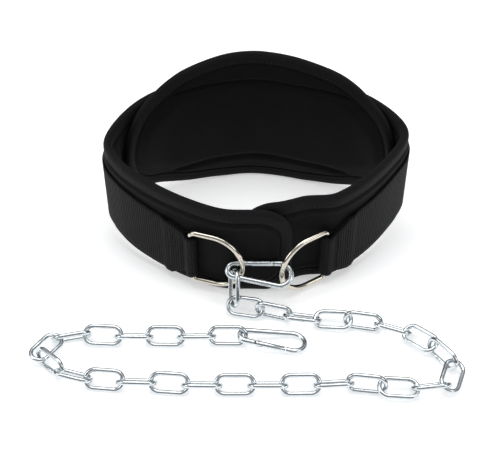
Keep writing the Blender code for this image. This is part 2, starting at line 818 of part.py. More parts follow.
def settle():
    """Puts the middle of the whole belt's base at the origin, on one empty that carries every piece."""
    bpy.context.view_layer.update()
    pieces = [obj for obj in bpy.context.scene.objects if obj.type == "MESH"]
    corners = [obj.matrix_world @ vert.co for obj in pieces for vert in obj.data.vertices]
    low = Vector(min(corner[axis] for corner in corners) for axis in range(3))
    high = Vector(max(corner[axis] for corner in corners) for axis in range(3))
    carrier = add_object("dip_belt", None)
    for piece in pieces:
        piece.parent = carrier
    carrier.location = (-(low.x + high.x) / 2, -(low.y + high.y) / 2, -low.z)


def main():
    clear_scene()
    fabric = make_material("black padded fabric", (0.008, 0.008, 0.009), 0.85)
    tape = make_material("black binding tape", (0.012, 0.012, 0.013), 0.8)
    webbing = make_material("black webbing", (0.010, 0.010, 0.011), 0.75)
    nickel = make_material("nickel plated wire", (0.70, 0.66, 0.58), 0.16, 1.0)
    zinc = make_material("bright zinc plated steel", (0.72, 0.75, 0.80), 0.22, 1.0)
    make_strip(fabric)
    make_strip_binding(tape)
    make_pad(fabric)
    make_pad_binding(tape)
    make_webbing(webbing)
    make_rings(nickel)
    last_link = make_chain(zinc)
    make_hooks(last_link, zinc, zinc)
    settle()


main()
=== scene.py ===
"""The looks of the padded dip belt: its cover, bindings, webbing, rings, hooks and chain. Metres, +Z up.

The soft pieces are made flat, as a sewer cuts them: along runs round the waist from the middle of the
front, out is the distance from the strip's outer face and up runs across the strip. They are then
wrapped round the waist. The wire pieces are bent in their own plane and then laid in their places.
"""

import json
import math

import bmesh
import bpy
import numpy as np
from mathutils import Matrix, Vector


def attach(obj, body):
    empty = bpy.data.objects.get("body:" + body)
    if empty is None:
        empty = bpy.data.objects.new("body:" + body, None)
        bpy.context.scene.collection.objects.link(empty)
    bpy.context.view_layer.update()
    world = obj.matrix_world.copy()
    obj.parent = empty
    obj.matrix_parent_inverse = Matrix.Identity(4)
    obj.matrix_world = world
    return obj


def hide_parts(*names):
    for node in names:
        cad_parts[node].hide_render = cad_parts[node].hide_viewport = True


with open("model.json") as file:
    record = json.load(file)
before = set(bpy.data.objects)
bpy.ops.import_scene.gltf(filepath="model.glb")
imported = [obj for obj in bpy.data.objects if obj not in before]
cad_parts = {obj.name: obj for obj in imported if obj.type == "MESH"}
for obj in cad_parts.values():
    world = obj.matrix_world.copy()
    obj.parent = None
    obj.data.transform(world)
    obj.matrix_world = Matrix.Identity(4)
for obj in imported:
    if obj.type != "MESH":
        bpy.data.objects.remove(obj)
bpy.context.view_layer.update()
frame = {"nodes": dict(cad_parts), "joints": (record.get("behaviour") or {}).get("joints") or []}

# Where the front middle of the belt's outer face stands
FRONT_AT = Vector((0.0038, -0.03106, 0.0))
GAP = 0.0003

# The waist, measured on the strip's outer face
HALF_WIDTH = 0.138
DEPTH = 0.195
WALL_LEAN = math.radians(4.0)
WAIST_SIDES = 44

# The padded strip and the tapes folded over the edges
STRIP_HEIGHT = 0.093
STRIP_THICK = 0.0085
STRIP_EDGE_THICK = 0.0050
STRIP_END_RADIUS = 0.030
LEFT_END = 0.038
RIGHT_END = 0.008
TUCK_RUN = 0.030
TUCK_GAP = 0.0005
BINDING_WIDTH = 0.0110
BINDING_THICK = 0.0010
BINDING_ROUND = 0.0048
SEAM_SLOPE = 0.0060
REST_SQUASH = 0.0010
PRESS_FROM = 0.006
PRESS_TO = 0.024

# The lumbar pad inside the back
PAD_HEIGHT = 0.148
PAD_LENGTH = 0.340
PAD_THICK = 0.0085
PAD_EDGE_THICK = 0.0045

# The load webbing and its loops
WEBBING_WIDTH = 0.060
WEBBING_THICK = 0.0018
LOOP_WIDTH = 0.0448
LOOP_FOLD = 0.015
LOOP_SLACK = 0.0006
LOOP_NECK = 0.008
LEFT_LOOP = 0.0510
RIGHT_LOOP = 0.0690
LEFT_RING_UP = 0.0385
RIGHT_RING_UP = 0.0325

# D-rings
RING_WIRE = 0.0048
RING_DEPTH = 0.047
RING_HEIGHT = 0.055
RING_CORNER = 0.0048

# Snap hooks
HOOK_LENGTH = 0.060
HOOK_WIRE = 0.0050
HOOK_EYE_RADIUS = 0.0060
HOOK_BOW_RADIUS = 0.0100
HOOK_STUB = 0.0074
HOOK_NOSE = 0.0044
HOOK_PIVOT = 0.0110
TONGUE_LENGTH = 0.0056
TONGUE_THICK = 0.0016
TONGUE_HEIGHT = 0.0042
RIVET_RADIUS = 0.0009
RIVET_HEAD = 0.0003
FORK_BACK = 0.0021
FORK_SLOT = 0.0036

# The fine round and the drawn-in line of a bound edge
RIM_ROUND = 0.0014
STITCH_PULL = 0.0006
STITCH_PULL_WIDTH = 0.0011
SEAM_START = BINDING_WIDTH - 0.0012
BINDING_SPACING = 0.003

# How far the foam stands proud of its flat shape
BAND_PROUD = 0.0009
BAND_AT = 0.0150
BAND_WIDTH = 0.0022
INSIDE_PROUD = 0.0016
PAD_PROUD = 0.0030
PAD_PROUD_FROM = 0.0115
CREASE_DEPTH = 0.0034
CREASE_WIDTH = 0.0030
CREASE_INSET = 0.002

# Chain links
LINK_WIRE = 0.0040
LINK_INSIDE = 0.0270
LINK_WIDTH = 0.0190

# How many waves a wave pattern of scale one has in a metre
WAVES_AT_SCALE_ONE = 3.1831

# Stitches
STITCH_LENGTH = 0.0030
STITCH_STEP = 0.0042
THREAD = 0.00055
STITCH_INSET = 0.0093

# The outer face of the strip, clockwise seen from above: front, left side, back, right side
WAIST_ROUTE = (
    # name, across (share of HALF_WIDTH), back (share of DEPTH)
    ("front middle", 0.000, 0.000),
    ("front left", -0.230, 0.018),
    ("left corner", -0.565, 0.140),
    ("left bulge", -0.850, 0.315),
    ("left side", -0.955, 0.500),
    ("back left", -0.770, 0.760),
    ("back left middle", -0.420, 0.925),
    ("back middle", 0.000, 1.000),
    ("back right middle", 0.450, 0.930),
    ("back right", 0.830, 0.790),
    ("right side", 1.045, 0.560),
    ("right bulge", 0.910, 0.345),
    ("right corner", 0.620, 0.135),
    ("front right", 0.250, 0.012),
)

# Half of the pad's outline, the same to the left and right, above and below
PAD_OUTLINE = (
    # reach (share of half the length), rise (share of half the height)
    (0.00, 1.000),
    (0.20, 0.985),
    (0.36, 0.940),
    (0.49, 0.885),
    (0.60, 0.800),
    (0.70, 0.705),
    (0.80, 0.620),
)
# Each end of the pad is half an ellipse: its middle and rise, as the shares above
TONGUE_MIDDLE = 0.62
TONGUE_RISE = 0.705

# The load webbing, from its loops to the back
WEBBING_SHAPE = (
    # name, run (share of half the waist), middle (share of STRIP_HEIGHT), width (share of WEBBING_WIDTH)
    ("stitched end", 0.06, 0.390, 1.0),
    ("side", 0.20, 0.440, 1.0),
    ("back", 0.60, 0.500, 1.0),
)


def smooth_line(points, closed):
    """Points on a smooth curve through the given ones, a few between each two."""
    steps = 12
    count = len(points)
    line = []
    for index in range(count if closed else count - 1):
        if closed:
            before, start, end, after = (points[(index + shift) % count] for shift in (-1, 0, 1, 2))
        else:
            before, start = points[max(index - 1, 0)], points[index]
            end, after = points[index + 1], points[min(index + 2, count - 1)]
        for step in range(steps):
            t = step / steps
            line.append(
                start * (1 - 2.5 * t**2 + 1.5 * t**3)
                + end * (0.5 * t + 2 * t**2 - 1.5 * t**3)
                + before * (-0.5 * t + t**2 - 0.5 * t**3)
                + after * (-0.5 * t**2 + 0.5 * t**3)
            )
    line.append(points[0] if closed else points[-1])
    return np.array(line)


def run_lengths(line):
    """The distance along a line to each of its points."""
    return np.concatenate(([0.0], np.cumsum(np.linalg.norm(np.diff(line, axis=0), axis=1))))


WAIST = smooth_line([np.array((HALF_WIDTH * across, DEPTH * back)) for _, across, back in WAIST_ROUTE], True)
WAIST_RUN = run_lengths(WAIST)
WAIST_LENGTH = WAIST_RUN[-1]
BACK_MIDDLE = WAIST_LENGTH / 2
MIDDLE_UP = STRIP_HEIGHT / 2
STRIP_OUT = -STRIP_THICK / 2
PAD_OUT = -(STRIP_THICK + GAP + PAD_THICK / 2)
LEAN = math.atan2((PAD_HEIGHT - STRIP_HEIGHT) / 2, DEPTH - STRIP_THICK - GAP - PAD_THICK)
WALL_UP = np.array((0.0, -math.sin(WALL_LEAN), math.cos(WALL_LEAN)))
STEP = WAIST_LENGTH / WAIST_SIDES
TUCKED_AT = math.floor((WAIST_LENGTH - LEFT_END) / STEP) * STEP
TUCK_START = TUCKED_AT - math.ceil(TUCK_RUN / STEP) * STEP


def smooth_share(share):
    share = np.clip(share, 0.0, 1.0)
    return share * share * (3 - 2 * share)


def waist_at(along):
    run = np.mod(along, WAIST_LENGTH)
    return np.stack([np.interp(run, WAIST_RUN, WAIST[:, axis]) for axis in (0, 1)], axis=-1)


def stand(along, out, up):
    """The places of points on the belt as it stands on its edge, before its foot is pressed flat."""
    reach = 0.004
    heading = waist_at(along + reach) - waist_at(along - reach)
    heading /= np.linalg.norm(heading, axis=-1, keepdims=True)
    tuck = (STRIP_THICK + TUCK_GAP) * smooth_share((along - TUCK_START) / (TUCKED_AT - TUCK_START))
    plan = waist_at(along) + np.stack([-heading[:, 1], heading[:, 0]], axis=-1) * (out - tuck)[:, None]
    foot = np.stack([plan[:, 0], plan[:, 1] * math.cos(LEAN), plan[:, 1] * math.sin(LEAN)], axis=-1)
    return foot + WALL_UP * up[:, None] + np.array((0.0, 0.0, -REST_SQUASH))


def wrap(flat, rise):
    """Wraps flat points round the waist, where rise(along) is half the height of their piece."""
    along, out, up = flat.T
    foot = MIDDLE_UP - rise(along)
    places = stand(along, out, up)
    lift = np.maximum(0.0, -stand(along, out, foot)[:, 2])
    places[:, 2] += lift * np.clip((PRESS_TO - (up - foot)) / (PRESS_TO - PRESS_FROM), 0.0, 1.0)
    return places + np.array(FRONT_AT)


def strip_rise(along):
    """Half the strip's height, less towards its rounded ends."""
    inside = np.minimum(along + LEFT_END, WAIST_LENGTH + RIGHT_END - along)
    short = np.clip(STRIP_END_RADIUS - inside, 0.0, STRIP_END_RADIUS)
    return MIDDLE_UP - STRIP_END_RADIUS + np.sqrt(STRIP_END_RADIUS**2 - short**2)


PAD_LINE = smooth_line([np.array(row) for row in PAD_OUTLINE], False)


def pad_rise(along):
    """Half the pad's height."""
    reach = np.clip(np.abs(along - BACK_MIDDLE) / (PAD_LENGTH / 2), 0.0, 1.0)
    share = np.clip((reach - TONGUE_MIDDLE) / (1 - TONGUE_MIDDLE), 0.0, 1.0)
    tongue = TONGUE_RISE * np.sqrt(1 - share**2)
    body = np.interp(reach, PAD_LINE[:, 0], PAD_LINE[:, 1])
    return PAD_HEIGHT / 2 * np.where(reach <= PAD_OUTLINE[-1][0], body, tongue)


def coordinates(bm):
    return np.array([vert.co for vert in bm.verts])


def set_coordinates(bm, places):
    for vert, place in zip(bm.verts, places):
        vert.co = place


def grid(columns, rows):
    """A flat grid from 0 to 1 each way."""
    bm = bmesh.new()
    bmesh.ops.create_grid(bm, x_segments=columns, y_segments=rows, size=0.5)
    bmesh.ops.translate(bm, vec=(0.5, 0.5, 0), verts=bm.verts)
    return bm


def map_pattern(bm, pattern):
    """Gives each corner the place of its vertex in the cloth's pattern, in metres."""
    layer = bm.loops.layers.uv.new("cloth")
    bm.verts.index_update()
    for face in bm.faces:
        for loop in face.loops:
            loop[layer].uv = pattern[loop.vert.index]


def add_piece(name, bm, material):
    """Makes a finished piece of a bmesh that is already in its place."""
    mesh = bpy.data.meshes.new(name)
    bm.to_mesh(mesh)
    bm.free()
    mesh.shade_smooth()
    mesh.materials.append(material)
    piece = bpy.data.objects.new(name, mesh)
    bpy.context.collection.objects.link(piece)
    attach(piece, "belt")
    return piece


def outline_of(start, end, rise, step):
    """Even points round a panel's edge and the directions inwards, clockwise from its top left."""
    turn = np.linspace(-math.pi / 2, math.pi / 2, 400)
    along = (start + end) / 2 + (end - start) / 2 * np.sin(turn)
    top = np.stack([along, MIDDLE_UP + rise(along)], axis=-1)
    low = np.stack([along, MIDDLE_UP - rise(along)], axis=-1)[::-1]
    line = np.concatenate([top, low, top[:1]])
    line = line[np.concatenate(([True], np.linalg.norm(np.diff(line, axis=0), axis=1) > 1e-7))]
    run = run_lengths(line)
    count = round(run[-1] / step)
    wanted = np.linspace(0.0, run[-1], count + 1)
    points = np.stack([np.interp(wanted, run, line[:, axis]) for axis in (0, 1)], axis=-1)
    ahead = np.roll(points[:-1], -1, axis=0) - np.roll(points[:-1], 1, axis=0)
    ahead = np.concatenate([ahead, ahead[:1]])
    ahead /= np.linalg.norm(ahead, axis=1, keepdims=True)
    return points, np.stack([ahead[:, 1], -ahead[:, 0]], axis=-1), wanted


def binding_half(inset, edge_thick):
    """Half the thickness of the bound edge, round at the rim and drawn in by its stitches."""
    full = edge_thick / 2 + GAP + BINDING_THICK
    round_off = np.sqrt(1 - (1 - np.clip(inset / BINDING_ROUND, 0.0, 1.0)) ** 2)
    stitch_pull = STITCH_PULL * np.exp(-(((inset - STITCH_INSET) / STITCH_PULL_WIDTH) ** 2))
    return full * round_off - stitch_pull


def bind(name, node, start, end, rise, middle_out, edge_thick, material):
    """The tape folded over the edge of a panel, all the way round."""
    points, inwards, run = outline_of(start, end, rise, BINDING_SPACING)
    rows = 22
    bm = grid(len(points) - 1, rows)
    share = coordinates(bm)
    column = np.rint(share[:, 0] * (len(points) - 1)).astype(int)
    side = share[:, 1] * 2 - 1
    inset = BINDING_WIDTH * np.abs(side) ** 1.7
    place = points[column] + inwards[column] * inset[:, None]
    out = middle_out + np.sign(side) * binding_half(inset, edge_thick)
    map_pattern(bm, np.stack([run[column], side * BINDING_WIDTH * 1.4], axis=-1))
    set_coordinates(bm, wrap(np.stack([place[:, 0], out, place[:, 1]], axis=-1), rise))
    bmesh.ops.remove_doubles(bm, verts=bm.verts, dist=1e-5)
    piece = add_piece(name, bm, material)
    thicken(piece, BINDING_THICK, -1.0)
    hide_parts(node)


def thicken(piece, thick, offset):
    wall = piece.modifiers.new("wall", "SOLIDIFY")
    wall.thickness = thick
    wall.offset = offset
    wall.use_even_offset = True


def stitch_line(bm, places, outward):
    """Adds short rounded stitches along a line of places, each lying on the surface below it."""
    run = run_lengths(places)
    for index in range(int(run[-1] / STITCH_STEP)):
        ends = []
        for distance in (index * STITCH_STEP, index * STITCH_STEP + STITCH_LENGTH):
            ends.append(Vector([np.interp(distance, run, places[:, axis]) for axis in range(3)]))
        normal = Vector([np.interp(index * STITCH_STEP, run, outward[:, axis]) for axis in range(3)])
        along = (ends[1] - ends[0]).normalized()
        side = normal.cross(along).normalized()
        turn = Matrix((along, side, along.cross(side))).transposed().to_4x4()
        turn.translation = (ends[0] + ends[1]) / 2
        size = Matrix.Diagonal((STITCH_LENGTH / 2, THREAD, THREAD * 0.7, 1.0))
        bmesh.ops.create_icosphere(bm, subdivisions=1, radius=1.0, matrix=turn @ size)


def stitch_binding(name, start, end, rise, middle_out, edge_thick, material):
    """The stitches that hold a binding down, on both faces."""
    bm = bmesh.new()
    points, inwards, _ = outline_of(start, end, rise, BINDING_SPACING)
    place = points + inwards * STITCH_INSET
    for side in (1.0, -1.0):
        level = binding_half(np.array(STITCH_INSET), edge_thick)
        lines = []
        for lift in (0.0, 0.001):
            out = np.full(len(place), middle_out + side * (level + THREAD * 0.2 + lift))
            lines.append(wrap(np.stack([place[:, 0], out, place[:, 1]], axis=-1), rise))
        stitch_line(bm, lines[0], lines[1] - lines[0])
    add_piece(name, bm, material)


def panel_half(inset, thick, edge_thick):
    """Half the thickness of a padded panel: closed at its rim, thin under the binding, full inside it."""
    rim = np.sqrt(1 - (1 - np.clip(inset / RIM_ROUND, 0.0, 1.0)) ** 2)
    seam = smooth_share((inset - SEAM_START) / SEAM_SLOPE)
    return edge_thick / 2 * rim + (thick - edge_thick) / 2 * seam


def insets(flat, outline):
    """How far each flat point lies from the panel's outline."""
    found = []
    for block in np.array_split(flat, 60):
        gaps = block[:, None, :] - outline[None, :, :]
        found.append(np.sqrt((gaps**2).sum(axis=2)).min(axis=1))
    return np.concatenate(found)


def eased_columns(start, end, count):
    """Places from start to end, close together at both ends."""
    even = np.linspace(-1.0, 1.0, count + 1)
    eased = even * (1.5 - 0.5 * even**2)
    share = 0.8 * even + 0.2 * eased
    return (start + end) / 2 + (end - start) / 2 * share


def pad_panel(name, node, start, end, rise, middle_out, thick, edge_thick, crown, columns, rows, material):
    """A padded panel. Crown says how far each face stands proud of the flat foam, from its place."""
    outline, _, _ = outline_of(start, end, rise, 0.001)
    alongs = eased_columns(start, end, columns)
    whole = bmesh.new()
    pattern = []
    places = []
    for side in (1.0, -1.0):
        bm = grid(columns, rows)
        share = coordinates(bm)
        along = alongs[np.rint(share[:, 0] * columns).astype(int)]
        level = np.sin((share[:, 1] - 0.5) * math.pi * 0.5) / math.sin(math.pi * 0.25)
        level = 0.5 * level + 0.5 * (share[:, 1] * 2 - 1)
        up = MIDDLE_UP + level * rise(along)
        inset = insets(np.stack([along, up], axis=-1), outline)
        at_rim = (np.abs(level) > 0.9999) | (share[:, 0] < 1e-6) | (share[:, 0] > 1 - 1e-6)
        inset = np.where(at_rim, 0.0, inset)
        out = middle_out + side * (panel_half(inset, thick, edge_thick) + crown(side, along, up, inset))
        places.append(np.stack([along, out, up], axis=-1))
        pattern.append(np.stack([along, up], axis=-1))
        if side > 0:
            bmesh.ops.reverse_faces(bm, faces=bm.faces)
        mesh = bpy.data.meshes.new("half")
        bm.to_mesh(mesh)
        bm.free()
        whole.from_mesh(mesh)
        bpy.data.meshes.remove(mesh)
    map_pattern(whole, np.concatenate(pattern))
    set_coordinates(whole, wrap(np.concatenate(places), rise))
    bmesh.ops.remove_doubles(whole, verts=whole.verts, dist=1e-5)
    bmesh.ops.recalc_face_normals(whole, faces=whole.faces)
    piece = add_piece(name, whole, material)
    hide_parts(node)
    return piece


def strip_crown(side, along, up, inset):
    """The strip's foam stands a little proud between its binding and the webbing."""
    band = np.exp(-(((inset - BAND_AT) / BAND_WIDTH) ** 2))
    slack = 0.15 * np.sin(along * 140.0) + 0.1 * np.sin(along * 57.0 + up * 90.0)
    if side > 0:
        return BAND_PROUD * band * (1 + slack)
    behind_pad = np.abs(along - BACK_MIDDLE) < PAD_LENGTH / 2 + 0.004
    inside = smooth_share((inset - 0.012) / 0.016)
    return np.where(behind_pad, 0.0, (INSIDE_PROUD + 0.0004 * slack) * inside)


def pad_crown(side, along, up, inset):
    """The pad is quilted by two seams that follow the strip's edges, and stands proud between them."""
    if side > 0:
        return np.zeros_like(along)
    crease = np.zeros_like(along)
    for edge in (-1.0, 1.0):
        line = MIDDLE_UP + edge * (STRIP_HEIGHT / 2 - CREASE_INSET)
        crease += np.exp(-(((up - line) / CREASE_WIDTH) ** 2))
    slack = 0.2 * np.sin(along * 95.0 + 1.0) * np.cos(up * 60.0)
    proud = PAD_PROUD * smooth_share((inset - PAD_PROUD_FROM) / 0.018) * (1 + slack)
    return proud - CREASE_DEPTH * crease * smooth_share((inset - PAD_PROUD_FROM) / 0.006)


UNDER_OUT = GAP + WEBBING_THICK / 2
OVER_OUT = UNDER_OUT + WEBBING_THICK + GAP
LOOP_RADIUS = RING_WIRE / 2 + LOOP_SLACK + WEBBING_THICK / 2
RING_OUT = UNDER_OUT + LOOP_RADIUS


def webbing_rows(ring_up):
    rows = [(0.0, ring_up, LOOP_WIDTH), (LOOP_NECK, ring_up, LOOP_WIDTH)]
    for _, share, middle, width in WEBBING_SHAPE:
        rows.append((share * WAIST_LENGTH / 2, middle * STRIP_HEIGHT, width * WEBBING_WIDTH))
    return np.array(rows)


def webbing_end(loop_along, away):
    """The tape from its folded end, round the ring's bar, to where it lies singly on the strip."""
    fold_end = LOOP_NECK + LOOP_FOLD
    path = [(loop_along + away * run, UNDER_OUT) for run in np.linspace(fold_end, 0.0, 20)]
    leave = Vector((LOOP_NECK, OVER_OUT - RING_OUT))
    last_turn = math.atan2(leave.y, leave.x) + math.acos(LOOP_RADIUS / leave.length)
    first_turn = math.radians(270)
    for angle in np.linspace(first_turn, last_turn, 22)[1:]:
        run = LOOP_RADIUS * math.cos(angle)
        path.append((loop_along + away * run, RING_OUT + LOOP_RADIUS * math.sin(angle)))
    step_down = fold_end + 2 * WEBBING_THICK
    path += [(loop_along + away * run, OVER_OUT) for run in np.linspace(LOOP_NECK, step_down, 20)]
    path.append((loop_along + away * (step_down + 3 * WEBBING_THICK), UNDER_OUT))
    return path


def webbing_places():
    left = webbing_end(LEFT_LOOP, 1)
    right = webbing_end(WAIST_LENGTH - RIGHT_LOOP, -1)
    between = [(along, UNDER_OUT) for along in np.linspace(left[-1][0], right[-1][0], 460)[1:-1]]
    return np.array(left + between + right[::-1])


def webbing_levels(along):
    """The middle and width of the webbing at each place."""
    left = webbing_rows(LEFT_RING_UP)
    right = webbing_rows(RIGHT_RING_UP)
    on_left = along < BACK_MIDDLE
    found = []
    for column in (1, 2):
        near = np.interp(along - LEFT_LOOP, left[:, 0], left[:, column])
        far = np.interp(WAIST_LENGTH - RIGHT_LOOP - along, right[:, 0], right[:, column])
        found.append(np.where(on_left, near, far))
    return found


def make_webbing(material, thread):
    """One tape round the outside, folded round the bar of a D-ring at each end and stitched down."""
    path = webbing_places()
    rows = 16
    bm = grid(len(path) - 1, rows)
    share = coordinates(bm)
    column = np.rint(share[:, 0] * (len(path) - 1)).astype(int)
    middle, width = webbing_levels(path[:, 0])
    run = run_lengths(path)
    up = middle[column] + (share[:, 1] - 0.5) * width[column]
    flat = np.stack([path[column, 0], path[column, 1], up], axis=-1)
    map_pattern(bm, np.stack([run[column], (share[:, 1] - 0.5) * WEBBING_WIDTH], axis=-1))
    set_coordinates(bm, wrap(flat, lambda along: np.full_like(along, MIDDLE_UP)))
    piece = add_piece("webbing", bm, material)
    thicken(piece, WEBBING_THICK, 0.0)
    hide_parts("webbing_strap")

    bm = bmesh.new()
    loops = ((LEFT_LOOP, 1, LEFT_RING_UP), (WAIST_LENGTH - RIGHT_LOOP, -1, RIGHT_RING_UP))
    for loop_along, away, ring_up in loops:
        for run_in in (LOOP_NECK + 0.003, LOOP_NECK + LOOP_FOLD - 0.002):
            reach = LOOP_WIDTH / 2 - 0.0035
            ups = np.linspace(ring_up - reach, ring_up + reach, 30)
            lines = []
            for lift in (0.0, 0.001):
                out = np.full(30, OVER_OUT + WEBBING_THICK / 2 + THREAD * 0.3 + lift)
                along = np.full(30, loop_along + away * run_in)
                flat = np.stack([along, out, ups], axis=-1)
                lines.append(wrap(flat, lambda along: np.full_like(along, MIDDLE_UP)))
            stitch_line(bm, lines[0], lines[1] - lines[0])
    add_piece("webbing_stitches", bm, thread)


def place_of(vert):
    """A point's place to the micrometre."""
    return tuple(round(number, 6) for number in vert.co)


def in_order(bm):
    """The same mesh with its points and faces in order of place, so that every run gives the same mesh."""
    points = sorted(bm.verts, key=place_of)
    number_of = {vert: number for number, vert in enumerate(points)}
    corners = [[number_of[vert] for vert in face.verts] for face in bm.faces]
    ordered = bmesh.new()
    verts = [ordered.verts.new(point.co) for point in points]
    for numbers in sorted(corners, key=sorted):
        ordered.faces.new([verts[number] for number in numbers])
    bm.free()
    return ordered


class Wire:
    """A round wire bent in the XY plane, always to its left, from straight runs and bends."""

    def __init__(self, start, heading, thick, sides):
        self.bm = bmesh.new()
        self.place = Vector((start[0], start[1], 0))
        self.heading = heading
        turn = Matrix.Rotation(heading + math.radians(90), 4, "Z") @ Matrix.Rotation(math.radians(90), 4, "X")
        turn.translation = self.place
        bmesh.ops.create_circle(self.bm, cap_ends=False, segments=sides, radius=thick / 2, matrix=turn)
        self.edges = list(self.bm.edges)
        self.first_edges = list(self.bm.edges)

    def ahead(self):
        return Vector((math.cos(self.heading), math.sin(self.heading), 0))

    def run(self, length, shares=(1.0,), swells=(1.0,)):
        """A straight run, in steps that each end at a share of it and swell the wire by a factor."""
        start = self.place.copy()
        last_swell = 1.0
        for share, swell in zip(shares, swells):
            made = bmesh.ops.extrude_edge_only(self.bm, edges=self.edges)["geom"]
            verts = [item for item in made if isinstance(item, bmesh.types.BMVert)]
            target = start + self.ahead() * length * share
            bmesh.ops.translate(self.bm, vec=target - self.place, verts=verts)
            for vert in verts:
                vert.co = target + (vert.co - target) * swell / last_swell
            last_swell = swell
            self.edges = [item for item in made if isinstance(item, bmesh.types.BMEdge)]
            self.place = target

    def bend(self, radius, angle, steps):
        side = Vector((-math.sin(self.heading), math.cos(self.heading), 0))
        centre = self.place + side * radius
        made = bmesh.ops.spin(
            self.bm,
            geom=self.edges,
            cent=centre,
            axis=(0, 0, 1),
            angle=angle,
            steps=steps,
            use_duplicate=False,
        )["geom_last"]
        self.edges = [item for item in made if isinstance(item, bmesh.types.BMEdge)]
        self.heading += angle
        self.place = centre + Matrix.Rotation(angle, 3, "Z") @ (self.place - centre)

    def finished(self, closed):
        if closed:
            bmesh.ops.remove_doubles(self.bm, verts=self.bm.verts, dist=2e-5)
        else:
            for edges in (self.first_edges, self.edges):
                rim = sorted({vert for edge in edges for vert in edge.verts}, key=place_of)
                bmesh.ops.contextual_create(self.bm, geom=rim)
        bmesh.ops.recalc_face_normals(self.bm, faces=self.bm.faces)
        return in_order(self.bm)


def mesh_of(bm, name):
    mesh = bpy.data.meshes.new(name)
    bm.to_mesh(mesh)
    bm.free()
    return mesh


def hard_piece(name, mesh, place, node, material, body="belt"):
    """A finished metal piece in the place of its node."""
    mesh = mesh.copy()
    mesh.transform(place)
    mesh.shade_smooth()
    mesh.set_sharp_from_angle(angle=math.radians(50))
    mesh.materials.clear()
    mesh.materials.append(material)
    piece = bpy.data.objects.new(name, mesh)
    bpy.context.collection.objects.link(piece)
    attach(piece, body)
    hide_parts(node)


def node_points(node):
    points = np.array([vert.co for vert in frame["nodes"][node].data.vertices])
    return np.unique(points.round(6), axis=0)


def matrix_from(x_axis, y_axis, origin):
    x_axis = Vector(x_axis).normalized()
    z_axis = x_axis.cross(Vector(y_axis)).normalized()
    matrix = Matrix((x_axis, z_axis.cross(x_axis), z_axis)).transposed().to_4x4()
    matrix.translation = origin
    return matrix


def spread_axes(points):
    """The directions in which points spread, the widest first."""
    middle = points.mean(axis=0)
    _, _, axes = np.linalg.svd(points - middle, full_matrices=False)
    return axes


def link_place(node):
    """Where a link lies: X along its length, Y across it."""
    points = node_points(node)
    axes = spread_axes(points)
    shares = points @ axes.T
    middle = (shares.min(axis=0) + shares.max(axis=0)) / 2
    return matrix_from(axes[0], axes[1], Vector(middle @ axes))


def ring_place(node, toward_right):
    """Where a D-ring hangs: X from its bar to its tip, Y up its bar."""
    points = node_points(node)
    face = spread_axes(points)[2]
    x_axis = Vector(WALL_UP).cross(Vector(face)).normalized()
    if (x_axis.x > 0) != toward_right:
        x_axis = -x_axis
    runs = points @ np.array(x_axis)
    rises = points @ WALL_UP
    depths = points @ np.array(x_axis.cross(Vector(WALL_UP)))
    low = runs.min() + RING_WIRE / 2
    level = (rises.min() + rises.max()) / 2
    depth = (depths.min() + depths.max()) / 2
    origin = x_axis * low + Vector(WALL_UP) * level + x_axis.cross(Vector(WALL_UP)) * depth
    return matrix_from(x_axis, WALL_UP, origin)


# The hook lies in its own XY plane: its eye is at the origin and its bow along X, with the gate at +Y
HOOK_BOW = HOOK_LENGTH - HOOK_WIRE - HOOK_EYE_RADIUS - HOOK_BOW_RADIUS
HOOK_FLARE = math.asin((HOOK_BOW_RADIUS - HOOK_EYE_RADIUS) / HOOK_BOW)
GATE_LINE = Vector((math.cos(HOOK_FLARE), math.sin(HOOK_FLARE), 0))
GATE_START = Vector((-GATE_LINE.y, GATE_LINE.x, 0)) * HOOK_EYE_RADIUS
GATE_SPAN = HOOK_BOW * math.cos(HOOK_FLARE)
PIVOT_PLACE = GATE_START + GATE_LINE * HOOK_PIVOT


def hook_place(joint_name, gate_node):
    """The hook's place, from the hinge of its gate."""
    joint = next(joint for joint in frame["joints"] if joint["name"] == joint_name)
    pivot = Vector(joint["pos_m"])
    z_axis = -Vector(joint["axis"]).normalized()
    points = node_points(gate_node)
    toward = Vector((points.min(axis=0) + points.max(axis=0)) / 2) - pivot
    toward = (toward - z_axis * toward.dot(z_axis)).normalized()
    x_axis = Matrix.Rotation(-HOOK_FLARE, 3, z_axis) @ toward
    turn = matrix_from(x_axis, z_axis.cross(x_axis), Vector((0, 0, 0)))
    turn.translation = pivot - turn.to_3x3() @ PIVOT_PLACE
    return turn


def merge(obj, other, operation):
    """Joins another solid to this one, or cuts it out of this one."""
    modifier = obj.modifiers.new(operation.lower(), "BOOLEAN")
    modifier.operation = operation
    modifier.object = other
    mesh = bpy.data.meshes.new_from_object(obj.evaluated_get(bpy.context.evaluated_depsgraph_get()))
    obj.modifiers.remove(modifier)
    obj.data = mesh
    bpy.data.objects.remove(other)


def spare_object(bm, name):
    bmesh.ops.recalc_face_normals(bm, faces=bm.faces)
    obj = bpy.data.objects.new(name, mesh_of(bm, name))
    bpy.context.collection.objects.link(obj)
    return obj


def block(name, length, height, thick, centre):
    """A plain block turned along the gate."""
    bm = bmesh.new()
    bmesh.ops.create_cube(bm, size=1)
    bmesh.ops.scale(bm, vec=(length, height, thick), verts=bm.verts)
    bmesh.ops.rotate(bm, matrix=Matrix.Rotation(HOOK_FLARE, 3, "Z"), verts=bm.verts)
    bmesh.ops.translate(bm, vec=centre, verts=bm.verts)
    return spare_object(bm, name)


def pin(name, radius, length, centre):
    """A round pin square to the hook's plane."""
    bm = bmesh.new()
    bmesh.ops.create_cone(bm, cap_ends=True, segments=32, radius1=radius, radius2=radius, depth=length)
    bmesh.ops.translate(bm, vec=centre, verts=bm.verts)
    return spare_object(bm, name)


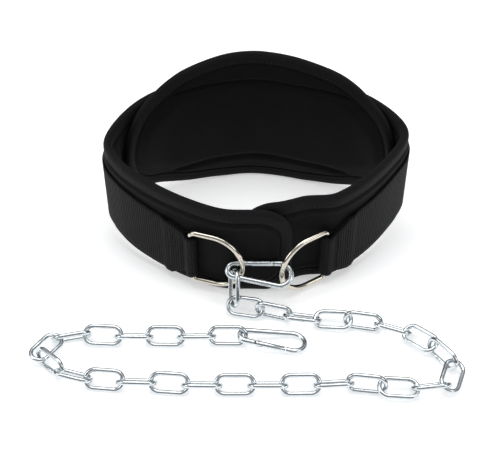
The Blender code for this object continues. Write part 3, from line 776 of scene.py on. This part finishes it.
def hook_body_mesh():
    heading = HOOK_FLARE + math.pi
    start = GATE_START + GATE_LINE * HOOK_STUB
    wire = Wire(start, heading, HOOK_WIRE, 24)
    wire.run(HOOK_STUB)
    wire.bend(HOOK_EYE_RADIUS, math.pi - 2 * HOOK_FLARE, 24)
    wire.run(GATE_SPAN)
    wire.bend(HOOK_BOW_RADIUS, math.pi + 2 * HOOK_FLARE, 32)
    wire.run(HOOK_NOSE)
    body = spare_object(wire.finished(False), "hook")
    middle = GATE_START + GATE_LINE * (HOOK_STUB + TONGUE_LENGTH / 2 - TONGUE_THICK / 2)
    merge(body, block("tongue", TONGUE_LENGTH + TONGUE_THICK, TONGUE_HEIGHT, TONGUE_THICK, middle), "UNION")
    merge(body, pin("hole", RIVET_RADIUS + GAP, 2 * HOOK_WIRE, PIVOT_PLACE), "DIFFERENCE")
    mesh = body.data
    bpy.data.objects.remove(body)
    return mesh


def gate_mesh():
    """The gate with its fork and rivet, in the hook's plane."""
    end = GATE_SPAN - HOOK_NOSE - 2 * GAP
    start = HOOK_PIVOT - FORK_BACK
    wire = Wire(GATE_START + GATE_LINE * start, HOOK_FLARE, HOOK_WIRE, 24)
    wire.run(end - start, (0.02, 0.94, 0.95, 0.965, 0.98, 1.0), (1.0, 1.0, 0.93, 0.93, 1.0, 0.97))
    gate = spare_object(wire.finished(False), "gate")
    slot_middle = PIVOT_PLACE + GATE_LINE * ((FORK_SLOT - 2 * FORK_BACK) / 2)
    slot_thick = TONGUE_THICK + 2 * GAP
    slot = block("slot", FORK_SLOT + 2 * FORK_BACK, 2 * HOOK_WIRE, slot_thick, slot_middle)
    merge(gate, slot, "DIFFERENCE")
    merge(gate, pin("rivet", RIVET_RADIUS, HOOK_WIRE + 2 * RIVET_HEAD, PIVOT_PLACE), "UNION")
    mesh = gate.data
    bpy.data.objects.remove(gate)
    return mesh


def ring_mesh():
    half = RING_HEIGHT / 2
    quarter = math.radians(90)
    wire = Wire((0.0, RING_CORNER - half), -quarter, RING_WIRE, 24)
    wire.bend(RING_CORNER, quarter, 10)
    wire.run(RING_DEPTH - half - RING_CORNER)
    wire.bend(half, 2 * quarter, 48)
    wire.run(RING_DEPTH - half - RING_CORNER)
    wire.bend(RING_CORNER, quarter, 10)
    wire.run(RING_HEIGHT - 2 * RING_CORNER, (0.46, 0.49, 0.51, 0.54, 1.0), (1.0, 1.035, 1.035, 1.0, 1.0))
    return mesh_of(wire.finished(True), "d_ring")


def link_mesh():
    bend = (LINK_WIDTH - LINK_WIRE) / 2
    straight = LINK_INSIDE + LINK_WIRE - 2 * bend
    wire = Wire((-straight / 2, -bend), 0.0, LINK_WIRE, 20)
    wire.run(straight)
    wire.bend(bend, math.pi, 20)
    shares = (0.38, 0.44, 0.48, 0.52, 0.56, 0.62, 1.0)
    wire.run(straight, shares, (1.0, 1.05, 1.02, 1.02, 1.05, 1.0, 1.0))
    wire.bend(bend, math.pi, 20)
    return mesh_of(wire.finished(True), "chain_link")


def new_material(name, colour, rough, metallic=0.0):
    material = bpy.data.materials.new(name)
    material.use_nodes = True
    tree = material.node_tree
    shader = tree.nodes["Principled BSDF"]
    shader.inputs["Base Color"].default_value = (*colour, 1.0)
    shader.inputs["Roughness"].default_value = rough
    shader.inputs["Metallic"].default_value = metallic
    shader.inputs["Specular IOR Level"].default_value = 0.5 if metallic else 0.15
    return material, tree, shader


def mixed_colour(tree, shader, low, high, share):
    """Colours the surface between two shades by a share from another node."""
    mix = tree.nodes.new("ShaderNodeMix")
    mix.data_type = "RGBA"
    mix.inputs["A"].default_value = (*low, 1.0)
    mix.inputs["B"].default_value = (*high, 1.0)
    tree.links.new(share, mix.inputs["Factor"])
    tree.links.new(mix.outputs["Result"], shader.inputs["Base Color"])


def bump(tree, shader, height, distance, strength, below=None):
    node = tree.nodes.new("ShaderNodeBump")
    node.inputs["Distance"].default_value = distance
    node.inputs["Strength"].default_value = strength
    tree.links.new(height, node.inputs["Height"])
    if below is not None:
        tree.links.new(below.outputs["Normal"], node.inputs["Normal"])
    tree.links.new(node.outputs["Normal"], shader.inputs["Normal"])
    return node


def noise(tree, vector, scale, detail):
    node = tree.nodes.new("ShaderNodeTexNoise")
    node.inputs["Scale"].default_value = scale
    node.inputs["Detail"].default_value = detail
    tree.links.new(vector, node.inputs["Vector"])
    return node.outputs["Fac"]


def bands(tree, vector, repeats, direction):
    """Even bands across a map: so many in each metre, or half as many where they lie on the slant."""
    node = tree.nodes.new("ShaderNodeTexWave")
    node.bands_direction = direction
    node.inputs["Scale"].default_value = repeats / WAVES_AT_SCALE_ONE
    node.inputs["Distortion"].default_value = 0.0
    tree.links.new(vector, node.inputs["Vector"])
    return node.outputs["Fac"]


def multiplied(tree, first, second):
    node = tree.nodes.new("ShaderNodeMath")
    node.operation = "MULTIPLY"
    tree.links.new(first, node.inputs[0])
    tree.links.new(second, node.inputs[1])
    return node.outputs["Value"]


def cloth_map(tree):
    node = tree.nodes.new("ShaderNodeUVMap")
    node.uv_map = "cloth"
    return node.outputs["UV"]


def object_map(tree):
    return tree.nodes.new("ShaderNodeTexCoord").outputs["Object"]


def knitted_cover():
    """A smooth black knit over foam: fine rows of stitches and a faint sheen."""
    material, tree, shader = new_material("knitted cover", (0.008, 0.008, 0.009), 0.78)
    shader.inputs["Sheen Weight"].default_value = 0.02
    shader.inputs["Sheen Roughness"].default_value = 0.5
    cloth = cloth_map(tree)
    stitches = multiplied(tree, bands(tree, cloth, 900, "X"), bands(tree, cloth, 700, "Y"))
    mixed_colour(tree, shader, (0.0016, 0.0016, 0.0018), (0.0034, 0.0034, 0.0038), noise(tree, cloth, 90, 4))
    fine = bump(tree, shader, stitches, 0.0002, 0.6)
    bump(tree, shader, noise(tree, cloth, 60, 3), 0.0006, 0.35, fine)
    return material


def twill_tape():
    """Black tape woven on the slant, with painted light and shade: its slanting ribs are painted lighter and
    the grooves between them darker.
    """
    material, tree, shader = new_material("twill tape", (0.012, 0.012, 0.013), 0.72)
    shader.inputs["Sheen Weight"].default_value = 0.03
    cloth = cloth_map(tree)
    ribs = bands(tree, cloth, 900, "DIAGONAL")
    # painted light and shade: the raised ribs are painted lighter and the grooves between them darker
    mixed_colour(tree, shader, (0.0026, 0.0026, 0.003), (0.0075, 0.0075, 0.0085), ribs)
    fine = bump(tree, shader, ribs, 0.0003, 0.8)
    bump(tree, shader, noise(tree, cloth, 220, 2), 0.0004, 0.3, fine)
    return material


def ribbed_webbing():
    """Heavy black webbing with ribs across it, with painted light and shade: the ribs' crests are painted
    lighter and the grooves darker, the crests' tone varying at random.
    """
    material, tree, shader = new_material("ribbed webbing", (0.010, 0.010, 0.011), 0.7)
    shader.inputs["Sheen Weight"].default_value = 0.02
    cloth = cloth_map(tree)
    ribs = bands(tree, cloth, 400, "X")
    threads = bands(tree, cloth, 1100, "Y")
    rough = noise(tree, cloth, 500, 3)
    # painted light and shade: rib crests painted lighter, grooves darker; the noise varies the crests' tone
    # at random
    painted_rib_shade = multiplied(tree, ribs, rough)
    mixed_colour(tree, shader, (0.0014, 0.0014, 0.0017), (0.0058, 0.0058, 0.0066), painted_rib_shade)
    deep = bump(tree, shader, ribs, 0.0007, 0.9)
    fine = bump(tree, shader, threads, 0.0002, 0.5, deep)
    bump(tree, shader, rough, 0.0005, 0.5, fine)
    return material


def sewing_thread():
    material, tree, shader = new_material("sewing thread", (0.016, 0.016, 0.018), 0.6)
    place = object_map(tree)
    mixed_colour(tree, shader, (0.010, 0.010, 0.011), (0.024, 0.024, 0.026), noise(tree, place, 900, 2))
    return material


def plated_metal(name, low, high, rough, grain):
    """Plated steel: small changes of tone and gloss, with a fine grain."""
    material, tree, shader = new_material(name, high, rough, 1.0)
    place = object_map(tree)
    cloudy = noise(tree, place, 120, 4)
    mixed_colour(tree, shader, low, high, cloudy)
    ramp = tree.nodes.new("ShaderNodeMapRange")
    ramp.inputs["To Min"].default_value = rough * 0.7
    ramp.inputs["To Max"].default_value = rough * 1.4
    tree.links.new(noise(tree, place, 400, 3), ramp.inputs["Value"])
    tree.links.new(ramp.outputs["Result"], shader.inputs["Roughness"])
    bump(tree, shader, noise(tree, place, 900, 3), 0.0001, grain)
    return material


def make_floor():
    bm = bmesh.new()
    bmesh.ops.create_grid(bm, x_segments=1, y_segments=1, size=30.0)
    bmesh.ops.translate(bm, vec=(0, 0, -0.0002), verts=bm.verts)
    material, tree, shader = new_material("pale floor", (0.92, 0.92, 0.92), 0.9)
    mixed_colour(tree, shader, (0.92, 0.92, 0.92), (0.94, 0.94, 0.94), noise(tree, object_map(tree), 3, 2))
    shader.inputs["Emission Color"].default_value = (1.0, 1.0, 1.0, 1.0)
    shader.inputs["Emission Strength"].default_value = 0.42
    mesh = mesh_of(bm, "floor")
    mesh.materials.append(material)
    floor = bpy.data.objects.new("floor", mesh)
    bpy.context.collection.objects.link(floor)


def make_light(name, place, size, power):
    data = bpy.data.lights.new(name, "AREA")
    data.shape = "RECTANGLE"
    data.size, data.size_y = size
    data.energy = power
    light = bpy.data.objects.new(name, data)
    light.location = place
    light.rotation_euler = (Vector((0, 0.02, 0.05)) - Vector(place)).to_track_quat("-Z", "Y").to_euler()
    bpy.context.collection.objects.link(light)


def make_stage():
    """A white floor, soft light from above and the photo's camera."""
    make_floor()
    make_light("top light", (0.0, 0.15, 1.5), (1.5, 1.1), 12.5)
    make_light("left light", (-1.3, -0.5, 0.8), (0.8, 0.8), 4.2)
    make_light("right light", (1.2, -0.9, 0.9), (0.7, 0.7), 3.6)
    world = bpy.data.worlds.new("studio")
    world.use_nodes = True
    tree = world.node_tree
    split = tree.nodes.new("ShaderNodeSeparateXYZ")
    tree.links.new(tree.nodes.new("ShaderNodeTexCoord").outputs["Generated"], split.inputs["Vector"])
    sky = tree.nodes.new("ShaderNodeValToRGB")
    sky.color_ramp.elements[0].position = 0.25
    sky.color_ramp.elements[0].color = (0.16, 0.16, 0.17, 1.0)
    sky.color_ramp.elements[1].position = 0.75
    sky.color_ramp.elements[1].color = (0.9, 0.92, 0.95, 1.0)
    tree.links.new(split.outputs["Z"], sky.inputs["Fac"])
    tree.links.new(sky.outputs["Color"], tree.nodes["Background"].inputs["Color"])
    tree.nodes["Background"].inputs["Strength"].default_value = 0.5
    bpy.context.scene.view_settings.view_transform = "Standard"
    bpy.context.scene.world = world
    data = bpy.data.cameras.new("camera")
    data.lens = 72.0
    data.sensor_width = 36.0
    camera = bpy.data.objects.new("camera", data)
    camera.location = (0.0038, -0.6936, 0.6023)
    camera.rotation_euler = (math.radians(51.5), 0.0, 0.0)
    bpy.context.collection.objects.link(camera)
    bpy.context.scene.camera = camera


def make_belt():
    cover = knitted_cover()
    tape = twill_tape()
    webbing = ribbed_webbing()
    thread = sewing_thread()
    strip_ends = (-LEFT_END, WAIST_LENGTH + RIGHT_END)
    pad_ends = (BACK_MIDDLE - PAD_LENGTH / 2, BACK_MIDDLE + PAD_LENGTH / 2)
    panels = (
        # name, node, ends, half height, place, thickness, thickness in the binding, crown, columns, rows
        ("padded_strip", "belt_strip", strip_ends, strip_rise, STRIP_OUT,
         STRIP_THICK, STRIP_EDGE_THICK, strip_crown, 640, 56),
        ("back_pad", "lumbar_pad", pad_ends, pad_rise, PAD_OUT,
         PAD_THICK, PAD_EDGE_THICK, pad_crown, 300, 90),
    )
    for name, node, ends, rise, middle_out, thick, edge_thick, crown, columns, rows in panels:
        piece = pad_panel(
            name, node, *ends, rise, middle_out, thick, edge_thick, crown, columns, rows, cover
        )
    for name, node, ends, rise, middle_out, edge_thick in (
        ("strip_binding", "belt_binding", strip_ends, strip_rise, STRIP_OUT, STRIP_EDGE_THICK),
        ("back_pad_binding", "pad_binding", pad_ends, pad_rise, PAD_OUT, PAD_EDGE_THICK),
    ):
        bind(name, node, *ends, rise, middle_out, edge_thick, tape)
        stitch_binding(name + "_stitches", *ends, rise, middle_out, edge_thick, thread)
    make_webbing(webbing, thread)


def make_metal():
    nickel = plated_metal("nickel plate", (0.58, 0.54, 0.46), (0.76, 0.71, 0.62), 0.14, 0.15)
    zinc = plated_metal("bright zinc plate", (0.58, 0.62, 0.64), (0.80, 0.84, 0.86), 0.17, 0.25)
    ring = ring_mesh()
    for name, toward_right in (("d_ring_left", True), ("d_ring_right", False)):
        hard_piece(name + "_wire", ring, ring_place(name, toward_right), name, nickel)
    body = hook_body_mesh()
    gate = gate_mesh()
    for side in ("front", "end"):
        place = hook_place(f"{side}_gate_hinge", f"{side}_gate")
        hard_piece(f"{side}_snap_hook", body, place, f"{side}_hook", zinc)
        hard_piece(f"{side}_snap_gate", gate, place, f"{side}_gate", zinc, f"{side}_gate")
    link = link_mesh()
    for node in sorted(frame["nodes"]):
        if node.startswith("chain_link_"):
            hard_piece(node.replace("chain_link", "link"), link, link_place(node), node, zinc)


make_stage()
make_belt()
make_metal()
